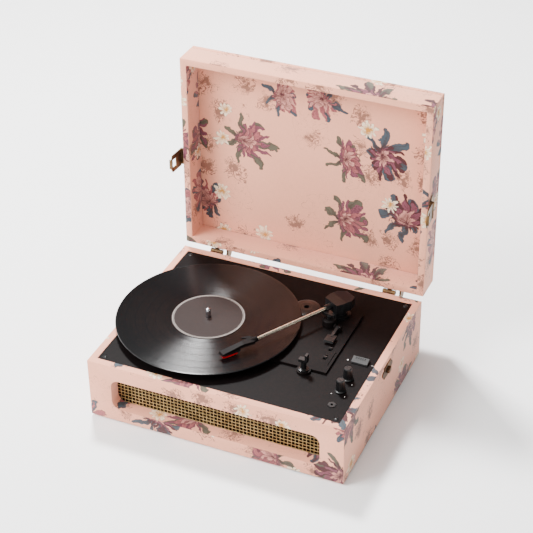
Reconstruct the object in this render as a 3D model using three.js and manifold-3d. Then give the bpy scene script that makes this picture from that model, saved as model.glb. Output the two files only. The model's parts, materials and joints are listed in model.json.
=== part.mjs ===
// Suitcase record player: cloth-covered case, hinged lid, belt-driven platter and tonearm.
// Units are millimetres, +Z is up, +Y is the back, +X is the viewer's right.
import * as THREE from "three";
import { mergeVertices } from "three/addons/utils/BufferGeometryUtils.js";
import Module from "manifold-3d";

const wasm = await Module();
wasm.setup();

// ---------------------------------------------------------------- driving sizes
const CASE_WIDTH = 360;
const CASE_DEPTH = 292;
const BASE_HEIGHT = 89;
const LID_HEIGHT = 42.5;
const LID_PANEL = 6.5;
const WALL = 10;
const FOOT_HEIGHT = 3;
const LID_OPEN = 91; // degrees between the closed and the standing lid
const RIM_GAP = 0.4; // closed lid rim above the base rim
const TURNED_GAP = 0.3; // between touching pieces of a group that is turned

const DECK_THICK = 3;
const DECK_RECESS = 0.8;
const DECK_GAP = 0.4;

const GRILLE_WIDTH = 295;
const GRILLE_HEIGHT = 47;
const GRILLE_CORNER = 12;
const GRILLE_DEPTH = 18; // from the front face to the grille
const GRILLE_PITCH = 5;
const GRILLE_BAR = 1.9;

const RECORD_RADIUS = 125; // a ten-inch disc
const LABEL_RADIUS = 50;
const RECORD_THICK = 2;
const MAT_THICK = 2;
const PLATTER_RADIUS = 98;
const PLATTER_HEIGHT = 7;
const PLATTER_LIFT = 1.4; // platter skirt above the deck
const SPINDLE_X = -68;
const SPINDLE_Y = -11;
const SPINDLE_RADIUS = 3.6;
const SPINDLE_STAND = 14; // above the record
const BORE_GAP = 0.3;

const PIVOT_X = 88;
const PIVOT_Y = 73;
const ARM_YAW = -30.7; // degrees from straight forward, negative towards the spindle
const ARM_LENGTH = 186; // pivot to needle
const TUBE_ABOVE_RECORD = 11;
const TUBE_RADIUS = 2.2;
const HEAD_BEND = -4.5;
const NEEDLE_GAP = 0.4;

const KNOB_INSET = 22.5; // from the case's inner side to the knobs' axis
const SOURCE_INSET = 20;
const KNOB_YS = { volume_knob: -76, tone_knob: -50 };
const KNOB_HEIGHT = 18;
const LATCH_Y = 8;
const LATCH_OPEN = 4; // degrees the free hasp stands off the case side
const HINGE_X = 131;

// ---------------------------------------------------------------- derived sizes
const HALF_W = CASE_WIDTH / 2;
const HALF_D = CASE_DEPTH / 2;
const IN_X = HALF_W - WALL;
const IN_Y = HALF_D - WALL;
const KNOB_X = IN_X - KNOB_INSET;
const CASE_Z = FOOT_HEIGHT;
const RIM_Z = CASE_Z + BASE_HEIGHT;
const DECK_Z = RIM_Z - DECK_RECESS;
const DECK_UNDER = DECK_Z - DECK_THICK;
const FLOOR_THICK = 6;
const FLOOR_Z = CASE_Z + FLOOR_THICK;
const BAFFLE_Y = -HALF_D + GRILLE_DEPTH;
const GRILLE_Z = CASE_Z + 43;
const FRAME_HEIGHT = 12;
const FRAME_BAR = 12;
const PLATTER_Z = DECK_Z + PLATTER_LIFT;
const PLATTER_TOP = PLATTER_Z + PLATTER_HEIGHT;
const RECORD_Z = PLATTER_TOP + MAT_THICK;
const RECORD_TOP = RECORD_Z + RECORD_THICK;
const TUBE_Z = RECORD_TOP + TUBE_ABOVE_RECORD;
const CHASSIS_TOP = DECK_Z + 3.5;
const HINGE_Y = HALF_D + 4.5;
const HINGE_Z = RIM_Z + RIM_GAP / 2;
const LID_Z = RIM_Z + RIM_GAP;
const LID_INNER_Z = LID_Z + LID_HEIGHT - LID_PANEL;

// ---------------------------------------------------------------- roundness, in sides
const DISC_SIDES = 64;
const TURNED_SIDES = 24;
const POST_SIDES = 20;
const ROD_SIDES = 16;

// ---------------------------------------------------------------- shape helpers
const rad = THREE.MathUtils.degToRad;

function block(x0, x1, y0, y1, z0, z1) {
  const box = new THREE.BoxGeometry(x1 - x0, y1 - y0, z1 - z0);
  return box.translate((x0 + x1) / 2, (y0 + y1) / 2, (z0 + z1) / 2);
}

function post(radius, z0, z1, x = 0, y = 0, sides = POST_SIDES) {
  const rod = new THREE.CylinderGeometry(radius, radius, z1 - z0, sides);
  return rod.rotateX(Math.PI / 2).translate(x, y, (z0 + z1) / 2);
}

function rodX(radius, x0, x1, y, z, sides = ROD_SIDES) {
  const rod = new THREE.CylinderGeometry(radius, radius, x1 - x0, sides);
  return rod.rotateZ(Math.PI / 2).translate((x0 + x1) / 2, y, z);
}

function rodY(radius, y0, y1, x, z, sides = ROD_SIDES) {
  const rod = new THREE.CylinderGeometry(radius, radius, y1 - y0, sides);
  return rod.translate(x, (y0 + y1) / 2, z);
}

// Turned shape about Z from [radius, z] pairs that start and end on the axis or close.
function turned(profile, x = 0, y = 0, sides = TURNED_SIDES) {
  const points = profile.map(([r, z]) => new THREE.Vector2(r, z));
  return new THREE.LatheGeometry(points, sides).rotateX(Math.PI / 2).translate(x, y, 0);
}

// Prism standing on z0 from a plan outline of [x, y] pairs.
function prism(outline, z0, z1) {
  const shape = new THREE.Shape(outline.map(([x, y]) => new THREE.Vector2(x, y)));
  const solid = new THREE.ExtrudeGeometry(shape, { depth: z1 - z0, bevelEnabled: false });
  return solid.translate(0, 0, z0);
}

// Prism along X from a side outline of [y, z] pairs.
function prismX(outline, x0, x1) {
  const solid = prism(outline, 0, x1 - x0);
  return solid.rotateX(Math.PI / 2).rotateZ(Math.PI / 2).translate(x0, 0, 0);
}

// Plan outline of a rounded rectangle centred on [x, y].
function roundedRect(width, height, radius, x = 0, y = 0, steps = 6) {
  const corners = [[1, 1, 0], [-1, 1, 90], [-1, -1, 180], [1, -1, 270]];
  const outline = [];
  for (const [sx, sy, start] of corners) {
    const cx = x + sx * (width / 2 - radius);
    const cy = y + sy * (height / 2 - radius);
    for (let i = 0; i <= steps; i++) {
      const a = rad(start + (90 * i) / steps);
      outline.push([cx + radius * Math.cos(a), cy + radius * Math.sin(a)]);
    }
  }
  return outline;
}

function toSolid(geometry) {
  const bare = geometry.clone();
  bare.deleteAttribute("normal");
  bare.deleteAttribute("uv");
  const welded = mergeVertices(bare, 1e-4);
  return new wasm.Manifold(new wasm.Mesh({
    numProp: 3,
    vertProperties: new Float32Array(welded.attributes.position.array),
    triVerts: new Uint32Array(welded.index.array),
  }));
}

function fromSolid(solid) {
  const mesh = solid.getMesh();
  const geometry = new THREE.BufferGeometry();
  geometry.setAttribute("position", new THREE.BufferAttribute(mesh.vertProperties, 3));
  geometry.setIndex(new THREE.BufferAttribute(mesh.triVerts, 1));
  return geometry;
}

function join(...parts) {
  return fromSolid(parts.map(toSolid).reduce((a, b) => a.add(b)));
}

function cut(body, ...tools) {
  return fromSolid(tools.map(toSolid).reduce((a, b) => a.subtract(b), toSolid(body)));
}

// ---------------------------------------------------------------- groups and finishes
const root = new THREE.Group();
const lid = new THREE.Group();
const arm = new THREE.Group();
const FINISH = {
  cloth: [0xe8c4b0, 0.85, 0],
  deck: [0x2a2322, 0.6, 0],
  black: [0x151516, 0.35, 0],
  vinyl: [0x0c0c0d, 0.2, 0],
  rubber: [0x1b1b1b, 0.9, 0],
  felt: [0x26262a, 0.95, 0],
  steel: [0xc8c8cc, 0.25, 1],
  tube: [0xd9cdb4, 0.3, 1],
  bronze: [0x5a4630, 0.45, 1],
  mesh: [0x3a3834, 0.5, 1],
  board: [0x2e6b3f, 0.6, 0],
  wood: [0xb99a72, 0.8, 0],
  red: [0xa01018, 0.4, 0],
};

function add(group, name, geometry, finish) {
  const [color, roughness, metalness] = FINISH[finish];
  const material = new THREE.MeshStandardMaterial({ color, roughness, metalness });
  const mesh = new THREE.Mesh(geometry, material);
  mesh.name = name;
  group.add(mesh);
}

// ---------------------------------------------------------------- base case
const JACK_X = 100;
const JACK_Z = CASE_Z + 33;
const JACK_PLATE = [74, 34];

function buildBase() {
  const face = block(-HALF_W, HALF_W, -HALF_D, -IN_Y, CASE_Z, RIM_Z);
  const baffle = block(-IN_X + 0.2, IN_X - 0.2, -IN_Y - 1, BAFFLE_Y, CASE_Z, DECK_UNDER);
  const opening = prism(roundedRect(GRILLE_WIDTH, GRILLE_HEIGHT, GRILLE_CORNER), -1, GRILLE_DEPTH + 1)
    .rotateX(Math.PI / 2).translate(0, BAFFLE_Y, GRILLE_Z);
  add(root, "base_front_board", cut(join(face, baffle), opening), "cloth");

  const back = block(-HALF_W, HALF_W, IN_Y, HALF_D, CASE_Z, RIM_Z);
  const [plateW, plateH] = JACK_PLATE;
  const window = block(JACK_X - plateW / 2 + 6, JACK_X + plateW / 2 - 6, IN_Y - 1, HALF_D + 1,
    JACK_Z - plateH / 2 + 6, JACK_Z + plateH / 2 - 6);
  add(root, "base_back_board", cut(back, window), "cloth");
  add(root, "base_left_board", block(-HALF_W, -IN_X, -IN_Y, IN_Y, CASE_Z, RIM_Z), "cloth");
  add(root, "base_right_board", block(IN_X, HALF_W, -IN_Y, IN_Y, CASE_Z, RIM_Z), "cloth");
  add(root, "base_bottom_board",
    block(-IN_X + 0.2, IN_X - 0.2, BAFFLE_Y + 0.2, IN_Y - 0.2, CASE_Z, FLOOR_Z), "wood");

  const footInset = 32;
  for (const [row, sy] of [["front", -1], ["back", 1]]) {
    for (const [side, sx] of [["left", -1], ["right", 1]]) {
      const foot = turned([[0, 0], [8, 0], [9.5, 0.8], [9.5, CASE_Z], [0, CASE_Z]],
        sx * (HALF_W - footInset), sy * (HALF_D - footInset));
      add(root, `foot_${row}_${side}`, foot, "rubber");
    }
  }
}

function buildDeckFrame() {
  const outerX = IN_X - 0.2;
  const backY = IN_Y - 0.2;
  const frontY = BAFFLE_Y + 0.2;
  const ring = block(-outerX, outerX, frontY, backY, DECK_UNDER - FRAME_HEIGHT, DECK_UNDER);
  const hole = block(-outerX + FRAME_BAR, outerX - FRAME_BAR, frontY + FRAME_BAR, backY - FRAME_BAR,
    DECK_UNDER - FRAME_HEIGHT - 1, DECK_UNDER + 1);
  add(root, "deck_frame", cut(ring, hole), "wood");
}

// ---------------------------------------------------------------- grille and speakers
const SPEAKER_X = 95;
const SPEAKER_RADIUS = 26;

function buildGrille() {
  const thick = 1.5;
  const edge = 3.5;
  const width = GRILLE_WIDTH + 2 * edge;
  const height = GRILLE_HEIGHT + 2 * edge;
  const plate = block(-width / 2, width / 2, BAFFLE_Y, BAFFLE_Y + thick,
    GRILLE_Z - height / 2, GRILLE_Z + height / 2);
  const slots = [];
  const count = Math.floor((GRILLE_WIDTH - 10) / GRILLE_PITCH);
  for (let i = 0; i < count; i++) {
    const x = (i - (count - 1) / 2) * GRILLE_PITCH;
    const half = (GRILLE_PITCH - GRILLE_BAR) / 2;
    slots.push(block(x - half, x + half, BAFFLE_Y - 1, BAFFLE_Y + thick + 1,
      GRILLE_Z - GRILLE_HEIGHT / 2 + 3, GRILLE_Z + GRILLE_HEIGHT / 2 - 3));
  }
  add(root, "speaker_grille", cut(plate, ...slots), "mesh");

  const y = BAFFLE_Y + thick;
  const r = SPEAKER_RADIUS;
  const profile = [[0, 9], [7, 11], [r - 3, 1.5], [r - 1, 0], [r + 2, 0], [r + 2, 2], [r - 1, 3],
    [r - 12, 15], [r - 9, 15], [r - 9, 27], [0, 27]];
  for (const [side, sx] of [["left", -1], ["right", 1]]) {
    const driver = turned(profile).rotateX(-Math.PI / 2)
      .translate(sx * SPEAKER_X, y, GRILLE_Z);
    add(root, `speaker_${side}`, driver, "black");
  }
}

// ---------------------------------------------------------------- deck and its electronics
const MOTOR_DISTANCE = 77;
const MOTOR_ANGLE = 135;
const MOTOR_X = SPINDLE_X + MOTOR_DISTANCE * Math.cos(rad(MOTOR_ANGLE));
const MOTOR_Y = SPINDLE_Y + MOTOR_DISTANCE * Math.sin(rad(MOTOR_ANGLE));
const FLANGE_RADIUS = 5;
const JACK = { x: KNOB_X, y: -106 };
const SOURCE = { x: IN_X - SOURCE_INSET, y: -11, travel: 4 };
const BUSH_RADIUS = 3.4;

function buildDeck() {
  const plan = roundedRect(2 * (IN_X - DECK_GAP), 2 * (IN_Y - DECK_GAP), 3);
  const plate = prism(plan, DECK_UNDER, DECK_Z);
  const low = DECK_UNDER - 1;
  const high = DECK_Z + 1;
  const holes = [
    post(FLANGE_RADIUS + BORE_GAP, low, high, SPINDLE_X, SPINDLE_Y),
    post(3, low, high, MOTOR_X, MOTOR_Y),
    post(JACK_COLLAR + BORE_GAP, low, high, JACK.x, JACK.y),
    block(SOURCE.x - SOURCE_STEM - SOURCE.travel - 0.5, SOURCE.x + SOURCE_STEM + SOURCE.travel + 0.5,
      SOURCE.y - 2, SOURCE.y + 2, low, high),
  ];
  for (const y of Object.values(KNOB_YS)) {
    holes.push(post(BUSH_RADIUS + BORE_GAP, low, high, KNOB_X, y));
  }
  add(root, "deck_plate", cut(plate, ...holes), "deck");
}

const JACK_COLLAR = 4;
const SOURCE_STEM = 2.5;
const SHAFT_RADIUS = 3;
const POT_RADIUS = 7.5;
const CONTROL_BOARD_Z = 72;

function buildElectronics() {
  // Control board: both potentiometers and the source switch stand on it, under the deck.
  const z = CONTROL_BOARD_Z;
  const parts = [block(KNOB_X - 10, KNOB_X + 8, -96, 0, z, z + 1.6)];
  for (const y of Object.values(KNOB_YS)) {
    parts.push(post(POT_RADIUS, z + 1, DECK_UNDER - 3, KNOB_X, y));
    parts.push(post(BUSH_RADIUS, DECK_UNDER - 4, DECK_Z - 0.3, KNOB_X, y, 24));
    parts.push(post(SHAFT_RADIUS, DECK_Z - 1, DECK_Z + 12, KNOB_X, y, 24));
  }
  const switchBody = block(SOURCE.x - 9, SOURCE.x + 7, SOURCE.y - 5, SOURCE.y + 5, z + 1, DECK_UNDER - 4);
  const switchSlot = block(SOURCE.x - 7.2, SOURCE.x + 8, SOURCE.y - 2, SOURCE.y + 2, z + 6, DECK_UNDER);
  parts.push(cut(switchBody, switchSlot));
  add(root, "control_board", join(...parts), "board");

  const jackBody = block(JACK.x - 6, JACK.x + 6, JACK.y - 6, JACK.y + 6, DECK_UNDER - 14, DECK_UNDER);
  const collar = post(JACK_COLLAR, DECK_UNDER - 1, DECK_Z + 0.5, JACK.x, JACK.y);
  const nut = post(5.6, DECK_Z, DECK_Z + 1, JACK.x, JACK.y, 6);
  const jackBore = post(1.9, DECK_UNDER - 12, DECK_Z + 2, JACK.x, JACK.y, 24);
  add(root, "headphone_jack", cut(join(jackBody, collar, nut), jackBore), "black");

  // Main board on four stand-offs, with its smoothing capacitors and amplifier heat sink.
  const b = { x0: 20, x1: 120, y0: 10, y1: 80, z: FLOOR_Z + 6 };
  const board = [block(b.x0, b.x1, b.y0, b.y1, b.z, b.z + 1.6)];
  for (const x of [b.x0 + 6, b.x1 - 6]) {
    for (const y of [b.y0 + 6, b.y1 - 6]) board.push(post(3, FLOOR_Z, b.z + 2.6, x, y, 10));
  }
  for (const x of [40, 56, 72]) board.push(post(6, b.z + 1, b.z + 20, x, b.y1 - 18, 16));
  board.push(block(40, 60, 22, 42, b.z + 1, b.z + 4));
  board.push(block(84, 92, 20, 60, b.z + 1, b.z + 22));
  add(root, "main_circuit_board", join(...board), "board");
}

function buildMotor() {
  const can = post(17.5, DECK_UNDER - 26, DECK_UNDER - 2, MOTOR_X, MOTOR_Y);
  const flange = block(MOTOR_X - 24, MOTOR_X + 24, MOTOR_Y - 8, MOTOR_Y + 8, DECK_UNDER - 3, DECK_UNDER);
  const bearing = post(1.5, DECK_UNDER - 20, DECK_UNDER + 1, MOTOR_X, MOTOR_Y, 20);
  add(root, "motor", cut(join(can, flange), bearing), "steel");
}

// Outline of a belt run round two pulleys, the small one at [distance, 0].
function beltLoop(big, small, distance) {
  const lean = Math.acos((big - small) / distance);
  const outline = [];
  const steps = 44;
  for (let i = 0; i <= steps; i++) {
    const a = lean + ((2 * Math.PI - 2 * lean) * i) / steps;
    outline.push([big * Math.cos(a), big * Math.sin(a)]);
  }
  for (let i = 0; i <= 12; i++) {
    const a = -lean + (2 * lean * i) / 12;
    outline.push([distance + small * Math.cos(a), small * Math.sin(a)]);
  }
  return outline;
}

const BELT_RING = 61;
const PULLEY_RADIUS = 5;
const BELT_THICK = 0.8;

function buildDrive() {
  const plateUnder = PLATTER_TOP - 2.5;
  const bore = SPINDLE_RADIUS + BORE_GAP;
  const r = PLATTER_RADIUS;
  const platter = turned([[bore, PLATTER_Z], [12, PLATTER_Z], [12, plateUnder],
    [BELT_RING - 3, plateUnder], [BELT_RING - 3, PLATTER_Z + 0.6], [BELT_RING, PLATTER_Z + 0.6],
    [BELT_RING, plateUnder], [r - 3, plateUnder], [r - 3, PLATTER_Z], [r, PLATTER_Z],
    [r, PLATTER_TOP - 1], [r - 1, PLATTER_TOP], [bore, PLATTER_TOP], [bore, PLATTER_Z]],
  SPINDLE_X, SPINDLE_Y, DISC_SIDES);
  add(root, "platter", platter, "steel");

  const mat = turned([[bore + 0.3, PLATTER_TOP], [r - 2, PLATTER_TOP], [r - 2, RECORD_Z],
    [bore + 0.3, RECORD_Z], [bore + 0.3, PLATTER_TOP]], SPINDLE_X, SPINDLE_Y, DISC_SIDES);
  add(root, "slip_mat", mat, "felt");

  const R = RECORD_RADIUS;
  const groove = RECORD_TOP - 0.3;
  const record = turned([[bore, RECORD_Z], [R - 1, RECORD_Z], [R, RECORD_Z + 0.6],
    [R, RECORD_TOP - 0.6], [R - 1, RECORD_TOP], [R - 3, groove], [LABEL_RADIUS + 6, groove],
    [LABEL_RADIUS + 4, groove - 0.2], [LABEL_RADIUS, groove - 0.2], [LABEL_RADIUS, RECORD_TOP - 0.1],
    [bore, RECORD_TOP - 0.1], [bore, RECORD_Z]], SPINDLE_X, SPINDLE_Y, DISC_SIDES);
  add(root, "vinyl_record", record, "vinyl");

  const tip = RECORD_TOP + SPINDLE_STAND;
  const spindle = turned([[0, DECK_UNDER - 8], [FLANGE_RADIUS, DECK_UNDER - 8], [FLANGE_RADIUS, DECK_Z],
    [9, DECK_Z], [9, DECK_Z + 0.7], [SPINDLE_RADIUS, DECK_Z + 0.9], [SPINDLE_RADIUS, tip - 4],
    [SPINDLE_RADIUS * 0.8, tip - 1.6], [SPINDLE_RADIUS * 0.4, tip - 0.4], [0, tip]],
  SPINDLE_X, SPINDLE_Y, 24);
  add(root, "spindle", spindle, "steel");

  const low = PLATTER_Z - 0.6;
  const high = plateUnder - 0.4;
  const waist = PULLEY_RADIUS;
  const pulley = turned([[0, DECK_UNDER - 18], [1.2, DECK_UNDER - 18], [1.2, low], [waist + 1.2, low],
    [waist + 1.2, low + 0.5], [waist, low + 0.9], [waist, high - 0.9], [waist + 1.2, high - 0.5],
    [waist + 1.2, high], [0, high]], MOTOR_X, MOTOR_Y, 24);
  add(root, "motor_pulley", pulley, "steel");

  const gap = 0.35;
  const outer = prism(beltLoop(BELT_RING + gap + BELT_THICK, waist + gap + BELT_THICK, MOTOR_DISTANCE),
    low + 1.1, high - 1.1);
  const inner = prism(beltLoop(BELT_RING + gap, waist + gap, MOTOR_DISTANCE), low, high);
  const belt = cut(outer, inner).rotateZ(rad(MOTOR_ANGLE)).translate(SPINDLE_X, SPINDLE_Y, 0);
  add(root, "drive_belt", belt, "rubber");
}

// ---------------------------------------------------------------- knobs and switches
// Fluted, tapered grip standing on z = 0 with a round skirt and a blind shaft bore.
function flutedKnob(bottom, top, height, skirt) {
  const flutes = 18;
  const outline = [];
  for (let i = 0; i < flutes * 2; i++) {
    const a = (Math.PI * i) / flutes;
    const r = i % 2 ? bottom - 0.5 : bottom;
    outline.push([r * Math.cos(a), r * Math.sin(a)]);
  }
  const grip = prism(outline, 0.8, height - 1);
  const position = grip.attributes.position;
  for (let i = 0; i < position.count; i++) {
    const taper = 1 - (1 - top / bottom) * (position.getZ(i) / height);
    position.setXY(i, position.getX(i) * taper, position.getY(i) * taper);
  }
  const cap = turned([[0, height - 1.6], [top + 0.1, height - 1.6], [top - 0.2, height - 0.6],
    [top - 1.2, height], [0, height]]);
  const rim = turned([[0, 0], [skirt, 0], [skirt, 1.6], [bottom, 2.6], [0, 2.6]]);
  const pointer = block(-0.5, 0.5, -top + 0.6, -1.5, height - 0.4, height + 1);
  const bore = post(SHAFT_RADIUS + BORE_GAP, -1, height - 4.5, 0, 0, 24);
  return cut(join(grip, cap, rim), pointer, bore);
}

function buildControls() {
  for (const [name, y] of Object.entries(KNOB_YS)) {
    add(root, name, flutedKnob(6.4, 5.2, KNOB_HEIGHT, 7.5).translate(KNOB_X, y, DECK_Z + 0.4), "black");
  }
  const z = DECK_Z + 0.3;
  const { x, y } = SOURCE;
  const wedge = prismX([[y - 6, z], [y + 6, z], [y + 6, z + 3], [y + 4, z + 5.2], [y - 6, z + 2.4]],
    x - 11, x + 11);
  const ribs = [-6, -3, 0, 3, 6].map((dx) => block(x + dx - 0.5, x + dx + 0.5, y - 7, y + 3, z + 3.6, z + 9));
  const stem = block(x - SOURCE_STEM, x + SOURCE_STEM, y - 1.5, y + 1.5, CONTROL_BOARD_Z + 7, z + 1);
  add(root, "source_switch_knob", join(cut(wedge, ...ribs), stem), "black");

  for (const [name, sy] of [["speed_switch_knob", -3], ["auto_stop_switch_knob", -23]]) {
    const foot = block(SWITCH_X - 1.6, SWITCH_X + 1.6, sy - 2, sy + 2, POCKET_Z + 0.3, CHASSIS_TOP + 1);
    const ridge = block(SWITCH_X - 2.4, SWITCH_X + 2.4, sy - 1, sy + 1, CHASSIS_TOP + 0.3, CHASSIS_TOP + 1.8);
    add(root, name, join(foot, ridge), "black");
  }
}

// ---------------------------------------------------------------- tonearm deck
const SWITCH_X = 105.5;
const SWITCH_YS = [-3, -23];
const POCKET_Z = DECK_Z + 1;
const REST_X = 89;
const REST_Y = -57;
const ADAPTER = { x: 42, y: 68, radius: 18.9 };
const LIFTER_RADIUS = 28;
const LIFTER_YAW = -8;
const LIFTER = {
  x: PIVOT_X + LIFTER_RADIUS * Math.sin(rad(LIFTER_YAW)),
  y: PIVOT_Y - LIFTER_RADIUS * Math.cos(rad(LIFTER_YAW)),
};
const CUE = { x: 99, y: 37, z: CHASSIS_TOP + 4.3 };
const PIN_RADIUS = 1.3;

function chassisOutline() {
  const reach = PLATTER_RADIUS + 6;
  const frontY = -53;
  const backY = 93;
  const startAngle = Math.asin((frontY - SPINDLE_Y) / reach);
  const endAngle = Math.PI / 2 - Math.acos((backY - SPINDLE_Y - 4) / reach);
  const outline = [[118.5, frontY], [118.5, 84], [112, 91], [60, 98], [20, backY]];
  const steps = 24;
  for (let i = 0; i <= steps; i++) {
    const a = endAngle + ((startAngle - endAngle) * i) / steps;
    outline.push([SPINDLE_X + reach * Math.cos(a), SPINDLE_Y + reach * Math.sin(a)]);
  }
  return outline;
}

function buildArmDeck() {
  const top = CHASSIS_TOP;
  const body = join(
    prism(chassisOutline(), DECK_Z, top),
    post(9.5, DECK_Z, top, REST_X, REST_Y),
    turned([[0, top - 1], [10, top - 1], [9.2, top + 9], [8.2, top + 10], [0, top + 10]], LIFTER.x, LIFTER.y),
    block(CUE.x - 5, CUE.x - 3.2, CUE.y - 3, CUE.y + 3, top - 1, CUE.z + 3),
    block(CUE.x + 3.2, CUE.x + 5, CUE.y - 3, CUE.y + 3, top - 1, CUE.z + 3),
  );
  const tools = [
    post(ADAPTER.radius + 0.6, DECK_Z + 1.8, top + 1, ADAPTER.x, ADAPTER.y, 48),
    post(3.3, DECK_Z + 1.5, top + 12, LIFTER.x, LIFTER.y, 24),
    rodX(PIN_RADIUS + BORE_GAP, CUE.x - 6, CUE.x + 6, CUE.y, CUE.z),
    block(114, 116, -38, -9, top - 1, top + 1),
  ];
  for (const y of SWITCH_YS) {
    tools.push(block(SWITCH_X - 2, SWITCH_X + 2, y - 5.2, y + 5.2, POCKET_Z, top + 1));
  }
  add(root, "arm_chassis", cut(body, ...tools), "black");

  const pillar = turned([[0, top], [15, top], [15, top + 2], [9.5, top + 2.8], [9.5, PILLAR_TOP],
    [3.3, PILLAR_TOP], [3.3, top + 2.5], [0, top + 2.5]], PIVOT_X, PIVOT_Y);
  add(root, "arm_pillar", pillar, "black");

  const restSeat = TUBE_Z - TUBE_RADIUS - 0.5;
  const rest = join(
    turned([[0, top], [7.2, top], [7.2, top + 1.4], [4, top + 2.4], [3.4, restSeat - 3], [0, restSeat - 3]],
      REST_X, REST_Y),
    block(REST_X - 6, REST_X + 6, REST_Y - 3.5, REST_Y + 3.5, restSeat - 4, restSeat),
    block(REST_X + TUBE_RADIUS + 0.6, REST_X + 6, REST_Y - 3.5, REST_Y + 3.5, restSeat - 1, TUBE_Z + 5),
  );
  add(root, "arm_rest", rest, "black");

  const railLow = TUBE_Z - TUBE_RADIUS - 3.4;
  const railHigh = TUBE_Z - TUBE_RADIUS - 0.3;
  const railPlan = [];
  const yawFrom = ARM_YAW - 16;
  const yawTo = 4;
  const steps = 14;
  for (const [radius, back] of [[LIFTER_RADIUS + 1.6, false], [LIFTER_RADIUS - 1.6, true]]) {
    for (let i = 0; i <= steps; i++) {
      const t = back ? 1 - i / steps : i / steps;
      const a = rad(yawFrom + (yawTo - yawFrom) * t);
      railPlan.push([PIVOT_X + radius * Math.sin(a), PIVOT_Y - radius * Math.cos(a)]);
    }
  }
  const lifter = join(prism(railPlan, railLow, railHigh),
    post(3, top + 2, railLow + 1, LIFTER.x, LIFTER.y, 24));
  add(root, "arm_lifter", lifter, "black");

  const pad = prismX([[CUE.y - 34, CUE.z - 1], [CUE.y - 20, CUE.z - 2.6], [CUE.y - 18, CUE.z + 1],
    [CUE.y - 33, CUE.z + 2]], CUE.x - 6.5, CUE.x + 6.5);
  const lever = join(block(CUE.x - 2, CUE.x + 2, CUE.y - 22, CUE.y + 2.5, CUE.z - 1.8, CUE.z + 1.8), pad,
    rodX(PIN_RADIUS, CUE.x - 4.8, CUE.x + 4.8, CUE.y, CUE.z));
  add(root, "cue_lever", lever, "black");

  const floor = DECK_Z + 1.8;
  const adapter = turned([[SPINDLE_RADIUS + 0.2, floor], [ADAPTER.radius, floor],
    [ADAPTER.radius, floor + 2.4], [ADAPTER.radius - 3, floor + 3.4], [9, floor + 4.4],
    [SPINDLE_RADIUS + 0.2, floor + 4.4], [SPINDLE_RADIUS + 0.2, floor]], ADAPTER.x, ADAPTER.y, 32);
  add(root, "adapter_45", adapter, "black");
}

// ---------------------------------------------------------------- tonearm, pointing to -Y
const PILLAR_TOP = TUBE_Z - 11.6;

function buildArm() {
  const yokeZ = PILLAR_TOP + 0.4;
  const cheekIn = 7;
  const cheekOut = 9;
  const yoke = [post(10, yokeZ, yokeZ + 2), post(3, PILLAR_TOP - 5, yokeZ + 1, 0, 0, 24)];
  for (const s of [-1, 1]) {
    const [a, b] = s < 0 ? [-cheekOut, -cheekIn] : [cheekIn, cheekOut];
    yoke.push(block(a, b, -4, 4, yokeZ + 1, TUBE_Z + 3.6));
  }
  const pinBore = rodX(PIN_RADIUS + BORE_GAP, -12, 12, 0, TUBE_Z);
  add(arm, "arm_yoke", cut(join(...yoke), pinBore), "black");

  const skirtZ = yokeZ + 3.4;
  const roofZ = TUBE_Z + 7.4;
  const plan = [[-12.5, -15], [12.5, -15], [15, -6], [15, 8], [9, 19], [-9, 19], [-15, 8], [-15, -6]];
  const inner = plan.map(([x, y]) => [x * 0.84, y * 0.84]);
  const outside = prism(plan, skirtZ, roofZ);
  const slope = prismX([[-30, roofZ - 1.2], [0, roofZ], [30, roofZ - 4], [30, roofZ + 9], [-30, roofZ + 9]],
    -20, 20);
  const shell = cut(outside, prism(inner, skirtZ - 1, roofZ - 3), slope);
  const neck = rodY(4.4, -25, -13, 0, TUBE_Z);
  const pins = [rodX(PIN_RADIUS, -13.5, -cheekIn + 0.5, 0, TUBE_Z),
    rodX(PIN_RADIUS, cheekIn - 0.5, 13.5, 0, TUBE_Z)];
  const socket = rodY(TUBE_RADIUS + TURNED_GAP, -26, -12, 0, TUBE_Z);
  add(arm, "arm_housing", cut(join(shell, neck, ...pins), socket), "black");

  const tubeEnd = -ARM_LENGTH + 45;
  const outerR = TUBE_RADIUS;
  const boreR = TUBE_RADIUS - 0.8;
  const tube = turned([[boreR, 0], [outerR, 0], [outerR, -12.5 - tubeEnd], [boreR, -12.5 - tubeEnd],
    [boreR, 0]], 0, 0, 32).rotateX(-Math.PI / 2).translate(0, tubeEnd, TUBE_Z);
  add(arm, "arm_tube", tube, "tube");

  buildHead(tubeEnd);
  arm.rotation.z = rad(ARM_YAW);
  arm.position.set(PIVOT_X, PIVOT_Y, 0);
}

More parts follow.
